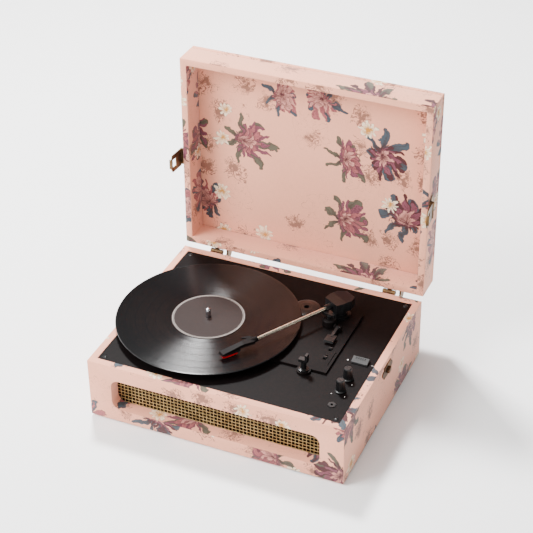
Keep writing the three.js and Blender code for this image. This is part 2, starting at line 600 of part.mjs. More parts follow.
// Headshell, cartridge and stylus. The bar turns inwards a little where it meets the tube.
function buildHead(tubeEnd) {
  const bent = (geometry) => geometry.translate(0, -tubeEnd, 0).rotateZ(rad(HEAD_BEND))
    .translate(0, tubeEnd, 0);
  const reach = -ARM_LENGTH;
  const tipZ = RECORD_TOP + NEEDLE_GAP;
  const shellZ = tipZ + 7.8;
  const cartridgeZ = shellZ - 3.6;
  const stylusZ = cartridgeZ - TURNED_GAP;

  const side = [[tubeEnd - 2, TUBE_Z + 2.4], [tubeEnd - 2, TUBE_Z - 2], [reach + 20, shellZ],
    [reach - 3, shellZ], [reach - 5, shellZ - 2], [reach - 6, shellZ - 1.6], [reach - 4.6, shellZ + 1.6],
    [reach + 14, TUBE_Z + 0.9], [tubeEnd - 18, TUBE_Z + 2.6]];
  const waist = (s) => {
    const outline = [[s * 5.7, tubeEnd], [s * 3.8, reach + 24], [s * 4.8, reach - 7],
      [s * 7, reach - 7], [s * 7, tubeEnd]];
    return prism(s > 0 ? outline.reverse() : outline, shellZ - 5, TUBE_Z + 6);
  };
  const bar = bent(cut(prismX(side, -5.6, 5.6), waist(-1), waist(1)));
  const collar = rodY(3.8, tubeEnd - 4, tubeEnd + 4, 0, TUBE_Z);
  const fingerLift = prism([[-2, tubeEnd + 2.5], [-9, tubeEnd - 1.5], [-13, tubeEnd - 11],
    [-11.5, tubeEnd - 12], [-2, tubeEnd - 2]], TUBE_Z + 0.2, TUBE_Z + 1.8);
  const tubeSeat = rodY(TUBE_RADIUS + TURNED_GAP, tubeEnd - TURNED_GAP, tubeEnd + 5, 0, TUBE_Z);
  add(arm, "headshell", cut(join(bar, collar, fingerLift), tubeSeat), "black");

  const cartridge = block(-4, 4, reach - 2, reach + 22, cartridgeZ, shellZ - TURNED_GAP);
  add(arm, "cartridge", bent(cartridge), "black");

  const holder = prismX([[reach - 4, stylusZ], [reach - 4, stylusZ - 1.6], [reach + 2, stylusZ - 3],
    [reach + 18, stylusZ - 2.4], [reach + 18, stylusZ]], -3, 3);
  const needle = new THREE.ConeGeometry(0.7, stylusZ - 2 - tipZ, 12).rotateX(-Math.PI / 2)
    .translate(0, reach, (stylusZ - 2 + tipZ) / 2);
  add(arm, "stylus", bent(join(holder, needle)), "red");
}

// ---------------------------------------------------------------- lid, built closed
function buildLid() {
  const z = LID_Z;
  const wallTop = LID_INNER_Z - TURNED_GAP;
  const ring = cut(block(-HALF_W, HALF_W, -HALF_D, HALF_D, z, wallTop),
    block(-IN_X, IN_X, -IN_Y, IN_Y, z - 1, wallTop + 1));
  add(lid, "lid_frame", ring, "cloth");
  add(lid, "lid_panel", block(-HALF_W, HALF_W, -HALF_D, HALF_D, LID_INNER_Z, z + LID_HEIGHT), "cloth");
}

const KNUCKLE = 3.3;
const LEAF = 1.5;
const LEAF_HALF = 9;
const LEAF_HEIGHT = 24;
const HINGE_PIN = 1.3;
const STOP_X = [14, 16.5];

function buildHinge(side, sx) {
  const x = sx * HINGE_X;
  const third = LEAF_HALF / 3;
  const wallY = HALF_D;
  const open = rad(LID_OPEN);
  const stopTop = (dy) => HINGE_Z + (HINGE_Y - wallY - 0.2 + dy * Math.cos(open)) / Math.sin(open);
  const near = HINGE_Y + 2;
  const far = HINGE_Y + 20;
  const parts = [
    block(x - LEAF_HALF, x + STOP_X[1], wallY, wallY + LEAF, HINGE_Z - LEAF_HEIGHT, HINGE_Z - 2.2),
    prismX([[wallY, HINGE_Z - LEAF_HEIGHT], [wallY + 3, HINGE_Z - LEAF_HEIGHT], [far, HINGE_Z - 2],
      [far, stopTop(far - HINGE_Y)], [near, stopTop(near - HINGE_Y)], [near, HINGE_Z - 2],
      [wallY, HINGE_Z - 5]], x + STOP_X[0], x + STOP_X[1]),
    rodX(HINGE_PIN, x - LEAF_HALF - 0.8, x + LEAF_HALF + 0.8, HINGE_Y, HINGE_Z),
  ];
  for (const [a, b] of [[-LEAF_HALF, -third - 0.2], [third + 0.2, LEAF_HALF]]) {
    parts.push(rodX(KNUCKLE, x + a, x + b, HINGE_Y, HINGE_Z));
    parts.push(block(x + a, x + b, wallY, HINGE_Y, HINGE_Z - KNUCKLE, HINGE_Z));
  }
  add(root, `hinge_${side}_base_leaf`, join(...parts), "bronze");

  const leafY = wallY + TURNED_GAP;
  const lidLeaf = join(
    block(x - LEAF_HALF, x + LEAF_HALF, leafY, leafY + LEAF, HINGE_Z + 2.6, HINGE_Z + LEAF_HEIGHT),
    rodX(KNUCKLE, x - third + 0.2, x + third - 0.2, HINGE_Y, HINGE_Z),
    block(x - third + 0.2, x + third - 0.2, leafY, HINGE_Y, HINGE_Z + 0.2, HINGE_Z + KNUCKLE),
  );
  const bore = rodX(HINGE_PIN + BORE_GAP, x - third - 1, x + third + 1, HINGE_Y, HINGE_Z);
  add(lid, `hinge_${side}_lid_leaf`, cut(lidLeaf, bore), "bronze");
}

const HASP = { axisOut: 4, axisZ: LID_Z + 4.2, length: 29, half: 13, thick: 1.5, pin: 1 };

// Latch on the right side, mirrored for the left.
function buildLatch(side, s) {
  const flip = (geometry) => (s > 0 ? geometry : mirrorX(geometry));
  const x = HALF_W;
  const y = LATCH_Y;
  const ax = x + HASP.axisOut;
  const az = HASP.axisZ;
  const ear = (cy, cz, x0) => rodX(4.6, x0, x0 + 1.2, cy, cz);

  const stapleZ = az - 21;
  const catchPlate = join(
    block(x, x + 1.2, y - 12, y + 12, stapleZ - 9, stapleZ + 9),
    ear(y - 14, stapleZ, x),
    ear(y + 14, stapleZ, x),
    prism(roundedRect(4, 9, 1.2, x + 3.1, y, 3), stapleZ - 2.8, stapleZ + 2.8),
  );
  add(root, `latch_${side}_catch`, flip(catchPlate), "bronze");

  const px = x + TURNED_GAP;
  const plateParts = [
    block(px, px + 1.2, y - 12, y + 12, az - 1.2, az + 13),
    ear(y - 14, az + 7, px),
    ear(y + 14, az + 7, px),
    rodY(HASP.pin, y - 11, y + 11, ax, az, 16),
  ];
  for (const [a, b] of [[-12, -8.2], [8.2, 12]]) {
    plateParts.push(rodY(2.1, y + a, y + b, ax, az));
    plateParts.push(block(px, ax, y + a, y + b, az - 0.5, az + 2.1));
  }
  add(lid, `latch_${side}_lid_plate`, flip(join(...plateParts)), "bronze");

  const t = HASP.thick / 2;
  const low = az - HASP.length;
  const tongue = block(ax - t, ax + t, y - HASP.half, y + HASP.half, low + 3, az - 3.2);
  const tip = prismX([[y - HASP.half, low + 3.1], [y - HASP.half + 6, low], [y + HASP.half - 6, low],
    [y + HASP.half, low + 3.1]], ax - t, ax + t);
  const neck = block(ax - t, ax + t, y - 7.8, y + 7.8, az - 4, az);
  const lip = block(ax - t, ax + t + 2.4, y - 7, y + 7, low, low + 1.4);
  const barrel = rodY(2.1, y - 7.8, y + 7.8, ax, az);
  const window = prismX(roundedRect(13, 10, 1.5, y, stapleZ, 3), ax - 3, ax + 3);
  const bore = rodY(HASP.pin + BORE_GAP, y - 9, y + 9, ax, az, 16);
  const hasp = cut(join(tongue, tip, neck, lip, barrel), window, bore);
  hasp.translate(-ax, 0, -az).rotateY(-rad(LATCH_OPEN)).translate(ax, 0, az);
  add(lid, `latch_${side}_hasp`, flip(hasp), "bronze");
}

function mirrorX(geometry) {
  const mirrored = geometry.clone().scale(-1, 1, 1);
  const index = mirrored.index.array;
  for (let i = 0; i < index.length; i += 3) {
    const first = index[i];
    index[i] = index[i + 1];
    index[i + 1] = first;
  }
  return mirrored;
}

// ---------------------------------------------------------------- back: sockets and handle
function buildBack() {
  const [w, h] = JACK_PLATE;
  const y = HALF_D;
  const dc = JACK_X - 20;
  const rca = [JACK_X + 4, JACK_X + 20];
  const holes = [rodY(4.8, y - 1, y + 3, dc, JACK_Z), ...rca.map((x) => rodY(4.8, y - 1, y + 3, x, JACK_Z))];
  const face = prism(roundedRect(w, h, 3), 0, 1.6).rotateX(Math.PI / 2)
    .translate(JACK_X, y + 1.6, JACK_Z);
  add(root, "rear_jack_plate", cut(face, ...holes), "black");

  const dcBody = join(block(dc - 7, dc + 7, y - 18, y - 0.4, JACK_Z - 7, JACK_Z + 7),
    rodY(4.3, y - 1, y + 2.2, dc, JACK_Z));
  const dcInlet = join(cut(dcBody, rodY(2.9, y - 10, y + 3, dc, JACK_Z)),
    rodY(0.9, y - 11, y + 0.6, dc, JACK_Z, 16));
  add(root, "dc_inlet_socket", dcInlet, "black");

  const rcaParts = [block(rca[0] - 8, rca[1] + 8, y - 18, y - 0.4, JACK_Z - 7, JACK_Z + 7)];
  for (const x of rca) rcaParts.push(rodY(4.2, y - 1, y + 8, x, JACK_Z));
  const rcaBores = rca.map((x) => rodY(1.7, y - 8, y + 9, x, JACK_Z));
  add(root, "rca_socket_pair", cut(join(...rcaParts), ...rcaBores), "steel");
}

const HANDLE = { axisY: HALF_D + 8.5, axisZ: CASE_Z + 53, drop: 33, half: 44, grip: 4.6 };

function buildHandle() {
  const { axisY, axisZ, drop, half, grip } = HANDLE;
  const y = HALF_D;
  const earIn = half + grip + 0.6;
  const parts = [block(-earIn - 10, earIn + 10, y, y + 2, axisZ - 9, axisZ + 9)];
  for (const s of [-1, 1]) {
    const [a, b] = s < 0 ? [-earIn - 6, -earIn] : [earIn, earIn + 6];
    parts.push(block(a, b, y + 1, axisY, axisZ - 5, axisZ + 5));
    parts.push(rodX(5, a, b, axisY, axisZ));
  }
  const bores = [-1, 1].map((s) =>
    rodX(2.3, s * (earIn + 2) - 3, s * (earIn + 2) + 3, axisY, axisZ));
  add(root, "handle_bracket", cut(join(...parts), ...bores), "bronze");

  const path = new THREE.CurvePath();
  const v = (x, z) => new THREE.Vector3(x, 0, z);
  const bend = 14;
  path.add(new THREE.LineCurve3(v(-half, 0), v(-half, -drop + bend)));
  path.add(new THREE.QuadraticBezierCurve3(v(-half, -drop + bend), v(-half, -drop), v(-half + bend, -drop)));
  path.add(new THREE.LineCurve3(v(-half + bend, -drop), v(half - bend, -drop)));
  path.add(new THREE.QuadraticBezierCurve3(v(half - bend, -drop), v(half, -drop), v(half, -drop + bend)));
  path.add(new THREE.LineCurve3(v(half, -drop + bend), v(half, 0)));
  const section = new THREE.Shape(Array.from({ length: 12 }, (_, i) =>
    new THREE.Vector2(grip * Math.cos((i * Math.PI) / 6), grip * Math.sin((i * Math.PI) / 6))));
  const bail = new THREE.ExtrudeGeometry(section, { steps: 26, bevelEnabled: false, extrudePath: path })
    .translate(0, axisY, axisZ);
  const ends = [-1, 1].map((s) => rodX(grip, s * half - grip, s * half + grip, axisY, axisZ));
  const pins = [rodX(2, -earIn - 4.6, -half, axisY, axisZ), rodX(2, half, earIn + 4.6, axisY, axisZ)];
  add(root, "handle", join(bail, ...ends, ...pins), "black");
}

// ---------------------------------------------------------------- assembly
buildBase();
buildDeckFrame();
buildGrille();
buildDeck();
buildElectronics();
buildMotor();
buildDrive();
buildControls();
buildArmDeck();
buildArm();
buildLid();
buildBack();
buildHandle();
for (const [side, s] of [["left", -1], ["right", 1]]) {
  buildHinge(side, s);
  buildLatch(side, s);
}

// The lid group turns about the hinge pins from closed to standing.
const lidPivot = new THREE.Group();
lid.position.set(0, -HINGE_Y, -HINGE_Z);
lidPivot.add(lid);
lidPivot.rotation.x = -rad(LID_OPEN);
lidPivot.position.set(0, HINGE_Y, HINGE_Z);
root.add(lidPivot);
root.add(arm);

// The origin sits under the middle of the open player's bounding box.
root.updateMatrixWorld(true);
const bounds = new THREE.Box3().setFromObject(root, true);
const player = new THREE.Group();
root.position.set(-(bounds.min.x + bounds.max.x) / 2, -(bounds.min.y + bounds.max.y) / 2, -bounds.min.z);
player.add(root);
player.updateMatrixWorld(true);

export default player;
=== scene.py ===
# Looks of the suitcase record player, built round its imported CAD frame. Metres, +Z up, +Y the back.
import json
import math
from collections import namedtuple

import bmesh
import bpy
from mathutils import Matrix, Vector


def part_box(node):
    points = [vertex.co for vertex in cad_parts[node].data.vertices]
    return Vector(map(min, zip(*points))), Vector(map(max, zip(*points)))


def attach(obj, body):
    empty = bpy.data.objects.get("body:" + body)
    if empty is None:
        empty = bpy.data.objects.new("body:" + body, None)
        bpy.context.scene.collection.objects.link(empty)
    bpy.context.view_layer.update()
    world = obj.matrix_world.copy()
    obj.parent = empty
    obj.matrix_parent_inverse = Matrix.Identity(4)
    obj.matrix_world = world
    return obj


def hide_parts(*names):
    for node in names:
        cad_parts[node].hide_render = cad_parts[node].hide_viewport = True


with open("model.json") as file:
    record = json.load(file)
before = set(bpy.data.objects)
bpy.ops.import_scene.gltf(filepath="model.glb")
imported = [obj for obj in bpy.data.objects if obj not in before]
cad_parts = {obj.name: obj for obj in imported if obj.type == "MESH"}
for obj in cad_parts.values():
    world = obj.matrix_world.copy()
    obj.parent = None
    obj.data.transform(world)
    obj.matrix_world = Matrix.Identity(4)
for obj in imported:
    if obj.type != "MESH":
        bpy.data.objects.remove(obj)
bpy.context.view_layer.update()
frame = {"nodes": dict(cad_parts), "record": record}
NODES = frame["nodes"]
MM = 0.001
TAU = 2 * math.pi


# ------------------------------------------------------------------ node trees
class Tree:
    """A new material whose nodes are written as short formulas."""

    def __init__(self, name):
        self.mat = bpy.data.materials.new(name)
        self.mat.use_nodes = True
        self.nodes = self.mat.node_tree.nodes
        self.links = self.mat.node_tree.links
        self.shader = self.nodes["Principled BSDF"]

    def put(self, socket, value):
        """Links a node's output, or sets a plain value."""
        if isinstance(value, bpy.types.NodeSocket):
            self.links.new(value, socket)
        else:
            socket.default_value = value

    def node(self, kind, inputs=(), **settings):
        made = self.nodes.new(kind)
        for key, value in settings.items():
            setattr(made, key, value)
        for key, value in dict(inputs).items():
            self.put(made.inputs[key], value)
        return made

    def math(self, operation, *values, clamp=False):
        made = self.node("ShaderNodeMath", operation=operation, use_clamp=clamp)
        for i, value in enumerate(values):
            self.put(made.inputs[i], value)
        return made.outputs[0]

    def vector(self, operation, a, b=None, output=0):
        made = self.node("ShaderNodeVectorMath", operation=operation)
        self.put(made.inputs[0], a)
        if b is not None:
            self.put(made.inputs[3 if operation == "SCALE" else 1], b)
        return made.outputs[output]

    def smooth(self, value, low, high):
        """0 below low, 1 above high, and a soft step between."""
        inputs = {"Value": value, "From Min": low, "From Max": high}
        return self.node("ShaderNodeMapRange", inputs, interpolation_type="SMOOTHSTEP").outputs[0]

    def mix(self, amount, a, b, blend="MIX"):
        made = self.node("ShaderNodeMix", data_type="RGBA", blend_type=blend)
        self.put(made.inputs[0], amount)
        self.put(made.inputs[6], a)
        self.put(made.inputs[7], b)
        return made.outputs[2]

    def pick(self, value, stops):
        """One of several colours, each from its own place on up to the next."""
        made = self.node("ShaderNodeValToRGB")
        made.color_ramp.interpolation = "CONSTANT"
        elements = made.color_ramp.elements
        while len(elements) < len(stops):
            elements.new(0.5)
        for element, (place, colour) in zip(elements, stops):
            element.position = place
            element.color = colour
        self.put(made.inputs[0], value)
        return made.outputs[0]

    def noise(self, where, scale, detail=3.0):
        inputs = {"Vector": where, "Scale": scale, "Detail": detail, "Roughness": 0.55}
        return self.node("ShaderNodeTexNoise", inputs).outputs[0]

    def place(self):
        return self.node("ShaderNodeTexCoord").outputs["Object"]

    def radius(self, centre):
        """Distance from the upright axis through centre."""
        offset = self.vector("MULTIPLY", self.vector("SUBTRACT", self.place(), tuple(centre)), (1, 1, 0))
        return self.vector("LENGTH", offset, output=1)

    def bump(self, height, strength, distance):
        inputs = {"Height": height, "Strength": strength, "Distance": distance}
        self.put(self.shader.inputs["Normal"], self.node("ShaderNodeBump", inputs).outputs[0])

    def set(self, **values):
        """Sets the shader's inputs, with _ for the spaces in their names."""
        for key, value in values.items():
            self.put(self.shader.inputs[key.replace("_", " ")], value)


def rgb(r, g, b):
    """Linear colour from 0-255 screen values."""
    def linear(v):
        v /= 255
        return v / 12.92 if v <= 0.04045 else ((v + 0.055) / 1.055) ** 2.4
    return (linear(r), linear(g), linear(b), 1.0)


# ------------------------------------------------------------------ printed cloth
GROUND = rgb(224, 156, 128)
GROUND_SHADE = rgb(213, 143, 116)
INK = rgb(48, 24, 20)
ROSE = rgb(150, 78, 80)
MAUVE = rgb(116, 58, 72)
MAROON = rgb(66, 22, 26)
PETAL = rgb(196, 130, 118)
SLATE = rgb(56, 66, 74)
CREAM = rgb(236, 214, 184)
OCHRE = rgb(186, 122, 44)
LEAF = rgb(80, 74, 58)

# Every row of a flower is given the same pitch and share, so that they fall in the same cells.
FLOWER = {"pitch": 0.096, "share": 0.74}
THREAD_PITCH = 0.9 * MM
SLUB_STRETCHES = ((900, 120, 1), (120, 900, 1))  # long thick places in the threads both ways

# mask: inside the figure. line: along its outline. out: 0 at its centre to 1 at its rim.
# chance: a number of its own for each figure. streak: -1 to 1 and back, many times round it.
Figure = namedtuple("Figure", "mask line out chance streak")


def motif(t, where, pitch, petals, size, share, shift=0.0, sharp=1.0, wobble=0.2, lean=0.0):
    """Petalled figures scattered at most one to a cell.

    pitch is metres from cell to cell, size a figure's reach in cells, and share how many cells hold one.
    sharp narrows the petals, wobble bends them, and lean shortens one side of the figure.
    """
    waist = 0.28  # reach between two petals, as a share of a petal's reach
    margin = 0.14  # from a cell's border, where figures shrink so as not to be cut off
    moved = t.vector("ADD", t.vector("SCALE", where, 1 / pitch), (shift, shift * 0.7, 0))
    drift = t.node("ShaderNodeTexNoise", {"Vector": moved, "Scale": 4.5, "Detail": 5.0}).outputs[1]
    drift = t.vector("SCALE", t.vector("SUBTRACT", drift, (0.5, 0.5, 0.5)), wobble)
    bent = t.vector("ADD", moved, drift)

    cells = {"Vector": moved, "Scale": 1.0, "Randomness": 0.6}
    cell = t.node("ShaderNodeTexVoronoi", cells, voronoi_dimensions="2D")
    border = t.node("ShaderNodeTexVoronoi", cells, voronoi_dimensions="2D", feature="DISTANCE_TO_EDGE")
    turn, chance, presence = t.node("ShaderNodeSeparateColor", {"Color": cell.outputs["Color"]}).outputs

    local = t.vector("SUBTRACT", bent, cell.outputs["Position"])
    x, y, _ = t.node("ShaderNodeSeparateXYZ", {"Vector": local}).outputs
    angle = t.math("ADD", t.math("ARCTAN2", y, x), t.math("MULTIPLY", turn, TAU))
    radius = t.vector("LENGTH", t.vector("MULTIPLY", local, (1, 1, 0)), output=1)

    lobe = t.math("ABSOLUTE", t.math("COSINE", t.math("MULTIPLY", angle, petals / 2)))
    lobe = t.math("POWER", lobe, sharp)
    grown = t.math("MULTIPLY_ADD", chance, 0.4, 0.8)
    leaning = t.math("MULTIPLY_ADD", t.math("COSINE", angle), lean, 1 - lean)
    fitted = t.math("MULTIPLY", leaning, t.smooth(border.outputs["Distance"], 0.0, margin))
    full = t.math("MULTIPLY", t.math("MULTIPLY", grown, size), fitted)
    reach = t.math("MULTIPLY", t.math("MULTIPLY_ADD", lobe, 1 - waist, waist), full)

    inside = t.math("SUBTRACT", reach, radius)
    mask = t.math("MULTIPLY", t.smooth(inside, 0.0, 0.010), t.math("LESS_THAN", presence, share))
    line = t.math("MULTIPLY", t.math("SUBTRACT", 1.0, t.smooth(inside, 0.008, 0.022)), mask)
    streak = t.math("SINE", t.math("MULTIPLY", angle, petals * 5))
    return Figure(mask, line, t.math("DIVIDE", radius, reach), chance, streak)


def printed(t, colour, figure, centre, rim, outline, streaks):
    """The colour with a figure printed over it, shaded from centre to rim and drawn over in ink."""
    body = t.mix(t.smooth(figure.out, 0.15, 0.85), centre, rim)
    body = t.mix(t.math("MULTIPLY", t.smooth(figure.streak, 0.2, 1.0), streaks), body, INK)
    colour = t.mix(figure.mask, colour, body)
    return t.mix(t.math("MULTIPLY", figure.line, outline), colour, INK)


def line_drawings(t, uv, colour):
    """Thin ink outlines of flowers, and twigs between them."""
    sketch = motif(t, uv, pitch=0.060, petals=9, size=0.66, share=0.55,
                   shift=31.7, sharp=1.1, wobble=0.5, lean=0.15)
    colour = t.mix(t.math("MULTIPLY", sketch.line, 0.95), colour, INK)
    twigs = motif(t, uv, pitch=0.046, petals=15, size=0.62, share=0.45,
                  shift=53.1, sharp=6.0, wobble=0.9, lean=0.3)
    return t.mix(t.math("MULTIPLY", twigs.mask, 0.7), colour, INK)


def flowers(t, uv, colour):
    """Large flowers: long leaves under three rows of petals, each row shorter than the last."""
    leaves = motif(t, uv, petals=7, size=0.56, sharp=3.0, wobble=0.30, lean=0.2, **FLOWER)
    tint = t.pick(leaves.chance, [(0.0, SLATE), (0.4, LEAF), (0.7, SLATE)])
    colour = printed(t, colour, leaves, INK, tint, outline=0.6, streaks=0.4)

    outer = motif(t, uv, petals=17, size=0.46, sharp=0.9, wobble=0.34, lean=0.38, **FLOWER)
    tint = t.pick(outer.chance, [(0.0, ROSE), (0.36, MAUVE), (0.62, MAROON), (0.86, ROSE)])
    colour = printed(t, colour, outer, MAROON, tint, outline=0.9, streaks=0.55)

    middle_row = motif(t, uv, petals=13, size=0.33, sharp=0.8, wobble=0.34, lean=0.42, **FLOWER)
    tint = t.pick(middle_row.chance, [(0.0, PETAL), (0.36, ROSE), (0.62, MAUVE), (0.86, PETAL)])
    colour = printed(t, colour, middle_row, MAROON, tint, outline=0.9, streaks=0.5)

    inner = motif(t, uv, petals=9, size=0.20, sharp=0.8, wobble=0.34, lean=0.42, **FLOWER)
    return printed(t, colour, inner, MAROON, PETAL, outline=0.9, streaks=0.4)


def cloth(name):
    """Woven cloth with a scattered print of generic flowers. UVs are metres on the cloth."""
    t = Tree(name)
    uv = t.node("ShaderNodeTexCoord").outputs["UV"]
    colour = t.mix(t.noise(uv, 9.0), GROUND, GROUND_SHADE)
    colour = line_drawings(t, uv, colour)
    colour = flowers(t, uv, colour)
    daisy = motif(t, uv, pitch=0.050, petals=9, size=0.30, share=0.20,
                  shift=17.9, sharp=0.7, wobble=0.3, lean=0.1)
    colour = printed(t, colour, daisy, OCHRE, CREAM, outline=0.8, streaks=0.3)

    grid = t.node("ShaderNodeSeparateXYZ", {"Vector": t.vector("SCALE", uv, TAU / THREAD_PITCH)})
    across, up, _ = grid.outputs
    weave = t.math("MULTIPLY", t.math("SINE", across), t.math("SINE", up))
    thick_threads = [t.noise(t.vector("MULTIPLY", uv, stretch), 1.0, 2.0) for stretch in SLUB_STRETCHES]
    slub = t.math("ADD", *thick_threads)
    tone = t.math("MULTIPLY_ADD", slub, 0.16, 0.84)
    grey = t.node("ShaderNodeCombineColor", {0: tone, 1: tone, 2: tone}).outputs[0]
    t.set(Base_Color=t.mix(1.0, colour, grey, blend="MULTIPLY"))
    t.set(Roughness=t.math("MULTIPLY_ADD", slub, 0.1, 0.7))
    t.set(Sheen_Weight=0.25, Sheen_Roughness=0.5, Specular_IOR_Level=0.25)
    t.bump(t.math("ADD", t.math("MULTIPLY", weave, 0.4), slub), strength=0.35, distance=0.3 * MM)
    return t.mat


# ------------------------------------------------------------------ other finishes
def finish(name, colour, other, roughness, spread, scale, bump=0.1, metallic=0.0, stretch=(1, 1, 1), **extra):
    """Plastic, metal or rubber: two colours in broad patches, uneven gloss and a fine grain."""
    t = Tree(name)
    where = t.vector("MULTIPLY", t.place(), stretch)
    broad = t.noise(where, scale * 0.12, 4.0)
    fine = t.noise(where, scale)
    t.set(Base_Color=t.mix(t.smooth(broad, 0.35, 0.7), colour, other), Metallic=metallic)
    t.set(Roughness=t.math("MULTIPLY_ADD", fine, spread, roughness - spread / 2, clamp=True))
    t.set(**extra)
    t.bump(fine, strength=bump, distance=0.2 * MM)
    return t.mat


def vinyl(centre):
    """Pressed disc with fine grooves and smooth gaps between the tracks."""
    t = Tree("grooved_vinyl")
    radius = t.radius(centre)
    groove = t.math("SINE", t.math("MULTIPLY", radius, TAU / (1.1 * MM)))
    band = t.math("SINE", t.math("MULTIPLY", radius, TAU / (13.5 * MM)))
    gap = t.smooth(band, 0.93, 0.99)
    past_label = t.math("GREATER_THAN", radius, 60 * MM)
    short_of_rim = t.math("LESS_THAN", radius, 122 * MM)
    played = t.math("MULTIPLY", past_label, short_of_rim)
    t.set(Base_Color=t.mix(gap, rgb(5, 5, 6), rgb(12, 12, 14)))
    t.set(Roughness=t.math("MULTIPLY_ADD", gap, -0.08, 0.27))
    # A quarter turn of the anisotropy spreads the shine across the grooves, not along them.
    t.set(Anisotropic=0.97, Anisotropic_Rotation=0.25, Specular_IOR_Level=0.34)
    t.set(Tangent=t.node("ShaderNodeTangent", direction_type="RADIAL", axis="Z").outputs[0])
    height = t.math("MULTIPLY", t.math("MULTIPLY", groove, played), t.math("SUBTRACT", 1.0, gap))
    t.bump(height, strength=0.25, distance=0.12 * MM)
    return t.mat


def label_paper(centre):
    """Dark paper with two thin light rings near its rim: painted highlights along the label's edge, not
    print.
    """
    t = Tree("label_paper")
    radius = t.radius(centre)
    grain = t.noise(t.place(), 400)

    def ring(at, half_width):
        away = t.math("ABSOLUTE", t.math("SUBTRACT", radius, at))
        return t.math("LESS_THAN", away, half_width)

    # The two light rings are painted highlights of the label's edge, not print on the paper.
    rings = t.math("ADD", ring(48.2 * MM, 0.4 * MM), ring(46.6 * MM, 0.25 * MM), clamp=True)
    paper = t.mix(grain, rgb(34, 26, 25), rgb(42, 33, 31))
    t.set(Base_Color=t.mix(rings, paper, rgb(150, 142, 136)), Specular_IOR_Level=0.08)
    t.set(Roughness=t.math("MULTIPLY_ADD", grain, 0.15, 0.35))
    t.bump(grain, strength=0.1, distance=0.1 * MM)
    return t.mat


CLOTH = cloth("printed_cloth")
DECK = finish("satin_black", rgb(9, 6, 6), rgb(14, 9, 9),
              roughness=0.5, spread=0.12, scale=2600, bump=0.16, Specular_IOR_Level=0.06)
GLOSS = finish("gloss_black", rgb(10, 10, 11), rgb(15, 15, 16),
               roughness=0.3, spread=0.1, scale=900, bump=0.04, Specular_IOR_Level=0.35)
RUBBER = finish("soft_black", rgb(22, 22, 22), rgb(32, 31, 30),
                roughness=0.7, spread=0.15, scale=1800, bump=0.3)
FELT = finish("felt", rgb(24, 24, 26), rgb(36, 36, 38),
              roughness=0.95, spread=0.1, scale=3500, bump=0.8, Sheen_Weight=0.3)
STEEL = finish("polished_steel", rgb(190, 190, 194), rgb(160, 160, 166),
               roughness=0.2, spread=0.12, scale=1500, bump=0.05, metallic=1.0)
CAST = finish("turned_metal", rgb(60, 60, 64), rgb(48, 48, 52),
              roughness=0.35, spread=0.15, scale=1500, bump=0.1, metallic=0.9)
TUBE = finish("satin_tube", rgb(214, 204, 182), rgb(190, 182, 164),
              roughness=0.26, spread=0.14, scale=1200, bump=0.06, metallic=1.0, stretch=(0.2, 0.2, 4))
BRONZE = finish("antique_bronze", rgb(74, 56, 40), rgb(128, 98, 64),
                roughness=0.42, spread=0.25, scale=420, bump=0.25, metallic=0.9)
GOLD = finish("gold_thread", rgb(206, 180, 126), rgb(164, 140, 94),
              roughness=0.42, spread=0.2, scale=900, bump=0.3, metallic=0.7)
BACKING = finish("black_cloth", rgb(8, 7, 6), rgb(14, 12, 11),
                 roughness=0.9, spread=0.1, scale=3000, bump=0.7)
BOARD = finish("raw_board", rgb(158, 128, 92), rgb(134, 104, 72),
               roughness=0.8, spread=0.15, scale=120, bump=0.3, stretch=(1, 12, 1))
CIRCUIT = finish("circuit_green", rgb(28, 84, 48), rgb(20, 64, 38),
                 roughness=0.4, spread=0.15, scale=300, bump=0.15)
RED = finish("red_plastic", rgb(190, 22, 30), rgb(160, 16, 24),
             roughness=0.25, spread=0.1, scale=900, bump=0.05)
PRINT = finish("white_print", rgb(226, 222, 216), rgb(206, 202, 198),
               roughness=0.6, spread=0.1, scale=1500)

BY_SLOT = {
    "antique_bronze": BRONZE,
    "bare_board": BOARD,
    "black_deck": DECK,
    "black_plastic": GLOSS,
    "black_rubber": RUBBER,
    "champagne_tube": TUBE,
    "circuit": CIRCUIT,
    "cloth_case": CLOTH,
    "felt": FELT,
    "grille_metal": BACKING,
    "red_plastic": RED,
    "steel": STEEL,
    "vinyl": GLOSS,
}


# ------------------------------------------------------------------ mesh helpers
def mesh_of(work, name, outward=True):
    """The mesh of a finished bmesh, which is then freed."""
    if outward:
        bmesh.ops.recalc_face_normals(work, faces=work.faces)
    mesh = bpy.data.meshes.new(name)
    work.to_mesh(mesh)
    work.free()
    return mesh


def make(name, mesh, material, body):
    """A visible piece that rides on a body and takes its finish from a slot."""
    piece = bpy.data.objects.new(name, mesh)
    bpy.context.scene.collection.objects.link(piece)
    mesh.materials.clear()
    mesh.materials.append(material)
    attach(piece, body)
    return piece


def smooth_by_angle():
    """A modifier group that shades gentle edges smooth and keeps crisp ones."""
    group = bpy.data.node_groups.new("smooth_by_angle", "GeometryNodeTree")
    for way in ("INPUT", "OUTPUT"):
        group.interface.new_socket("Geometry", in_out=way, socket_type="NodeSocketGeometry")
    start, end = group.nodes.new("NodeGroupInput"), group.nodes.new("NodeGroupOutput")
    faces, edges = (group.nodes.new("GeometryNodeSetShadeSmooth") for _ in range(2))
    faces.domain, edges.domain = "FACE", "EDGE"
    angle = group.nodes.new("GeometryNodeInputMeshEdgeAngle")
    crisp = group.nodes.new("FunctionNodeCompare")
    crisp.inputs[1].default_value = math.radians(32)
    edges.inputs["Shade Smooth"].default_value = False
    link = group.links.new
    link(start.outputs[0], faces.inputs[0])
    link(faces.outputs[0], edges.inputs[0])
    link(angle.outputs[0], crisp.inputs[0])
    link(crisp.outputs[0], edges.inputs["Selection"])
    link(edges.outputs[0], end.inputs[0])
    return group


SMOOTH = smooth_by_angle()


def shade(piece):
    piece.modifiers.new("shading", "NODES").node_group = SMOOTH


